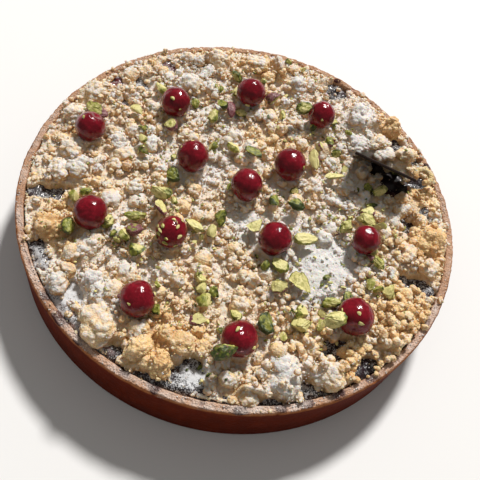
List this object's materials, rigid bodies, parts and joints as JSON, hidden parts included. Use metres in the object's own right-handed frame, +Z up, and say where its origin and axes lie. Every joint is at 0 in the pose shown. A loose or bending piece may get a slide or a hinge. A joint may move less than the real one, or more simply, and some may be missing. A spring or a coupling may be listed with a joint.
{
  "type": "berry crumble tart",
  "caption": "Round baked tart: a straight-sided crust filled with dark berries, topped with sugar-dusted butter crumble, candied cherries, pistachio kernels and a thin chocolate plaque.",
  "frame": {"origin": "centre of the flat underside, where the tart stands", "axes": "+Z up through the middle of the tart; +Y towards the plaque's side, away from the picture's camera"},
  "size_m": [0.25, 0.25, 0.0604],
  "materials": {
    "crust": "dry baked pastry, dusted rim",
    "filling": "moist dark berries",
    "crumble": "dry crumb dusted with sugar",
    "chocolate": "satin dark chocolate",
    "cherry": "glossy candied skin",
    "pistachio": "dry nut"
  },
  "bodies": {
    "root": {"tart_shell": "crust", "berry_filling": "filling", "crumble_topping": "crumble", "chocolate_plaque": "chocolate", "cherry_01": "cherry", "cherry_02": "cherry", "cherry_03": "cherry", "cherry_04": "cherry", "cherry_05": "cherry", "cherry_06": "cherry", "cherry_07": "cherry", "cherry_08": "cherry", "cherry_09": "cherry", "cherry_10": "cherry", "cherry_11": "cherry", "cherry_12": "cherry", "cherry_13": "cherry", "cherry_14": "cherry", "pistachio_01": "pistachio", "pistachio_02": "pistachio", "pistachio_03": "pistachio", "pistachio_04": "pistachio", "pistachio_05": "pistachio", "pistachio_06": "pistachio", "pistachio_07": "pistachio", "pistachio_08": "pistachio", "pistachio_09": "pistachio", "pistachio_10": "pistachio", "pistachio_11": "pistachio", "pistachio_12": "pistachio", "pistachio_13": "pistachio", "pistachio_14": "pistachio", "pistachio_15": "pistachio", "pistachio_16": "pistachio", "pistachio_17": "pistachio", "pistachio_18": "pistachio", "pistachio_19": "pistachio", "pistachio_20": "pistachio", "pistachio_21": "pistachio", "pistachio_22": "pistachio", "pistachio_23": "pistachio", "pistachio_24": "pistachio", "pistachio_25": "pistachio", "pistachio_26": "pistachio", "pistachio_27": "pistachio", "pistachio_28": "pistachio", "pistachio_29": "pistachio", "pistachio_30": "pistachio", "pistachio_31": "pistachio", "pistachio_32": "pistachio", "pistachio_33": "pistachio", "pistachio_34": "pistachio", "pistachio_35": "pistachio", "pistachio_36": "pistachio", "pistachio_37": "pistachio", "pistachio_38": "pistachio", "pistachio_39": "pistachio", "pistachio_40": "pistachio"}
  },
  "joints": []
}
